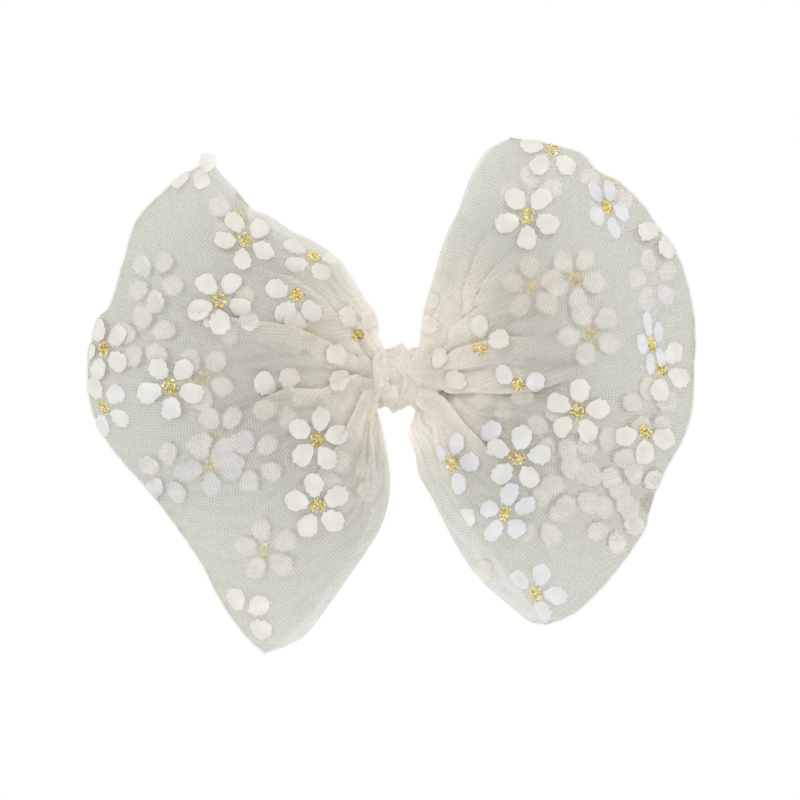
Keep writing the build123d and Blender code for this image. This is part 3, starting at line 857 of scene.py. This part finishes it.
def wrap():
    """The strip of folded net wound round the waist and the clip: soft, lumpy, and creased lengthways."""
    arc = np.radians(np.linspace(-112, 112, 29))
    front = np.stack([WAIST_Y - WRAP_RADIUS * np.cos(arc), WRAP_RADIUS * np.sin(arc)], axis=1)
    corner = [(WRAP_BACK_Y - 0.5, 5.9), (WRAP_BACK_Y - 0.05, 4.6)]
    outline = np.vstack([front, corner, [(WRAP_BACK_Y, 0)], [(y, -z) for y, z in corner[::-1]], front[:1]])
    around, count = through(outline, 241)[:-1], 240
    tangent = np.roll(around, -1, axis=0) - np.roll(around, 1, axis=0)
    outward = np.stack([tangent[:, 1], -tangent[:, 0]], axis=1)
    outward /= np.linalg.norm(outward, axis=1, keepdims=True)
    if ((around - [WAIST_Y, 0]) * outward).sum() < 0:
        outward = -outward
    turn = np.arange(count) * 2 * np.pi / count
    soft = smooth(-6.0, -9.0, around[:, 0])  # 1 in front, falling to 0 on the clip
    rings = [(share, 0.0) for share in np.linspace(-1, 1, 41)]
    rings += [(share, -WRAP_THICK) for share in np.linspace(1, -1, 15)]
    verts, uvs = [], []
    for share, inset in rings:
        x = share * WRAP_HALF * (1 + 0.06 * soft * np.sin(turn * 3 + 1) * abs(share))
        edge = math.sqrt(max(0.0, 1 - abs(share) ** 5))
        crease = (0.75 * np.sin(6.5 * share + 1.8 * np.sin(turn * 2 + 0.6) + 0.8)
                  + 0.4 * np.sin(13 * share - 2.2 * np.sin(turn * 5))
                  + 0.45 * np.sin(turn * 6 + 2.6 * share + 1.2) + 0.2 * np.sin(turn * 11 - 4 * share))
        lift = inset + (0 if inset else 1) * (crease * (0.25 + 0.75 * soft) - (1 - edge) * WRAP_THICK * 0.8)
        ring = around + outward * np.broadcast_to(lift, (count,))[:, None]
        verts.append(np.stack([np.broadcast_to(x, (count,)), ring[:, 0], ring[:, 1]], axis=1))
        uvs.append(np.stack([turn / (2 * np.pi) * WRAP_ROUND,
                             np.full(count, share * WRAP_HALF + inset)], axis=1))
    verts = np.vstack(verts)
    obj = make_mesh("wrap_net", verts, ring_faces(len(rings), count, True), np.vstack(uvs),
                    {"gather": [KNOT_GATHER["wrap"]] * len(verts)})
    obj.data.materials.append(NET_KNOT)
    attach(obj, BOW)
    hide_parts("centre_wrap")
    return obj


waist()
knot_piece = wrap()
daisies("knot", knot_piece, None, True, [Daisy(0.2, 0.1, 240, squash=0.9, petals="0", dot=0, tint=0.2)], 17)


# ---------------------------------------------------------------- the clip

def tube(name, path, radius, sides=12):
    """A closed round wire along a path in mm."""
    path = np.array(path, float)
    tangents = np.gradient(path, axis=0)
    tangents /= np.linalg.norm(tangents, axis=1, keepdims=True)
    normal = np.cross(tangents[0], [0.3, 0.9, 0.2])
    verts = []
    for point, tangent in zip(path, tangents):
        normal = normal - tangent * (normal @ tangent)
        normal /= np.linalg.norm(normal)
        other = np.cross(tangent, normal)
        for k in range(sides):
            angle = 2 * math.pi * k / sides
            verts.append(point + radius * (normal * math.cos(angle) + other * math.sin(angle)))
    faces = ring_faces(len(path), sides)
    faces += [tuple(range(sides))[::-1], tuple(range(len(verts) - sides, len(verts)))]
    return make_mesh(name, verts, faces)


def tangent_angle(y, side):
    """The angle on the coil where a straight leg to (LEG_X, y) leaves it."""
    reach = math.hypot(LEG_X - PIVOT_X, y - PIVOT_Y)
    return math.atan2(y - PIVOT_Y, LEG_X - PIVOT_X) + side * math.acos(COIL_RADIUS / reach)


def spring_path():
    """From the end of the leg on the front lever, round the coil and out along the leg on the jaw."""
    start, end = tangent_angle(LEVER_LEG_Y, 1), tangent_angle(JAW_LEG_Y, -1)
    turns = math.floor(COIL_LENGTH / COIL_PITCH)
    sweep = (end - start) % (2 * math.pi) + 2 * math.pi * turns
    path = [(LEG_X, LEVER_LEG_Y, -COIL_LENGTH / 2)]
    steps = 160
    for k in range(steps + 1):
        angle = start + sweep * k / steps
        rise = min(1, max(0, (k / steps - COIL_FLAT) / (1 - 2 * COIL_FLAT)))
        path.append((PIVOT_X + COIL_RADIUS * math.cos(angle), PIVOT_Y + COIL_RADIUS * math.sin(angle),
                     COIL_LENGTH * (rise - 0.5)))
    path.append((LEG_X, JAW_LEG_Y, COIL_LENGTH / 2))
    legs = []
    for a, b in ((path[0], path[1]), (path[-2], path[-1])):
        legs.append([tuple(np.array(a) + (np.array(b) - np.array(a)) * t) for t in np.linspace(0, 1, 9)])
    return legs[0][:-1] + path[1:-1] + legs[1][1:]


spring = tube("spring_wire", spring_path(), WIRE / 2)
spring.data.materials.append(STEEL)
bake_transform(spring)
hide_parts("torsion_spring")

for node, material in (("front_lever", STEEL), ("back_jaw", STEEL), ("hinge_pin", STEEL),
                       ("lever_ribbon", RIBBON), ("gathering_thread", THREAD), ("wrap_glue", GLUE),
                       ("bow_glue", GLUE)):
    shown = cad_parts[node]
    shown.data.materials.clear()
    shown.data.materials.append(material)


# ---------------------------------------------------------------- stage, light and camera

def area_light(name, place, size, power, target=(0, -0.02, 0)):
    light = bpy.data.lights.new(name, "AREA")
    light.size = size
    light.energy = power
    obj = bpy.data.objects.new(name, light)
    obj.location = place
    obj.rotation_euler = (Vector(target) - Vector(place)).to_track_quat("-Z", "Y").to_euler()
    bpy.context.scene.collection.objects.link(obj)


FLOOR_Z, FLOOR_RADIUS, FLOOR_SIDES = -0.45, 1.6, 64
angles = [math.tau * k / FLOOR_SIDES for k in range(FLOOR_SIDES)]
rim = [(FLOOR_RADIUS * math.cos(angle), FLOOR_RADIUS * math.sin(angle), FLOOR_Z) for angle in angles]
floor = make_mesh("floor", np.array(rim) / MM, [tuple(range(FLOOR_SIDES))])
floor.data.materials.append(plain_material("floor_paint", (0.93, 0.93, 0.92), 0.9)[0])

# The sky's strength as a light and as the camera sees it
SKY_LIGHT, SKY_SEEN = 0.98, 1.0
world = bpy.data.worlds.new("studio")
bpy.context.scene.world = world
world.use_nodes = True
nodes, links = world.node_tree.nodes, world.node_tree.links
pick = nodes.new("ShaderNodeMixShader")
links.new(nodes.new("ShaderNodeLightPath").outputs["Is Camera Ray"], pick.inputs[0])
for sky, strength, socket in ((nodes["Background"], SKY_LIGHT, pick.inputs[1]),
                              (nodes.new("ShaderNodeBackground"), SKY_SEEN, pick.inputs[2])):
    sky.inputs["Color"].default_value = (1, 1, 1, 1)
    sky.inputs["Strength"].default_value = strength
    links.new(sky.outputs[0], socket)
links.new(pick.outputs[0], nodes["World Output"].inputs[0])

area_light("key", (-0.45, -0.75, 0.75), 0.5, 1.8)
area_light("fill", (0.7, -0.6, 0.2), 0.7, 0.5)
area_light("back", (0.1, 0.8, 0.3), 0.8, 4.5)

# The camera looks along +Y. It sees VIEW_WIDTH across in the plane through the middle of the loops.
VIEW_WIDTH, CAMERA_DISTANCE, BOW_PLANE_Y, SENSOR = 0.2096, 0.62, -0.022, 36
camera_data = bpy.data.cameras.new("camera")
camera_data.sensor_width = SENSOR
camera_data.lens = SENSOR * CAMERA_DISTANCE / VIEW_WIDTH
camera_data.clip_start = 0.01
camera = bpy.data.objects.new("camera", camera_data)
camera.location = (0.0005, BOW_PLANE_Y - CAMERA_DISTANCE, -0.0058)
camera.rotation_euler = (math.radians(90), 0, 0)
bpy.context.scene.collection.objects.link(camera)
bpy.context.scene.camera = camera
bpy.context.scene.view_settings.view_transform = "Standard"
bpy.context.scene.cycles.transparent_max_bounces = 32
